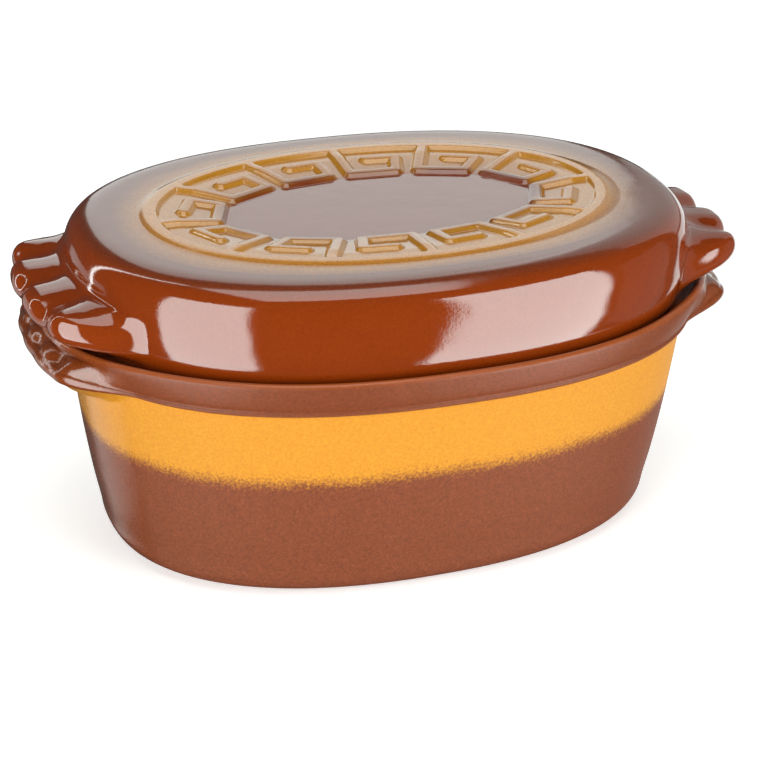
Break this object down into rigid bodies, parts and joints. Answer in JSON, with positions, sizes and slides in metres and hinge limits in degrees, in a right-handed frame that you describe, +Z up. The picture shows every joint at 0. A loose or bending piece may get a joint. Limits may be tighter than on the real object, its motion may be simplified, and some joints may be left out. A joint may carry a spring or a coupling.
{
  "type": "covered casserole dish",
  "caption": "Oval stoneware casserole with a lift-off domed lid, scalloped lug handles at both ends and a raised key band on the lid.",
  "frame": {"origin": "middle of the pot's flat foot, on the table", "axes": "+X along the oval from lug to lug, +Y across it, +Z up, the way the lid lifts"},
  "size_m": [0.347, 0.226, 0.1586],
  "materials": {
    "pot_glaze": "satin brown glaze with a sprayed yellow band below the rim",
    "lid_glaze": "glossy brown glaze with an ochre spray over the key band"
  },
  "bodies": {
    "pot": {"pot": "pot_glaze"},
    "lid": {"lid": "lid_glaze"}
  },
  "joints": [
    {"name": "lid_lift", "type": "slide", "parent": "pot", "child": "lid", "axis": [0, 0, 1], "range_m": [0, 0.2]}
  ]
}
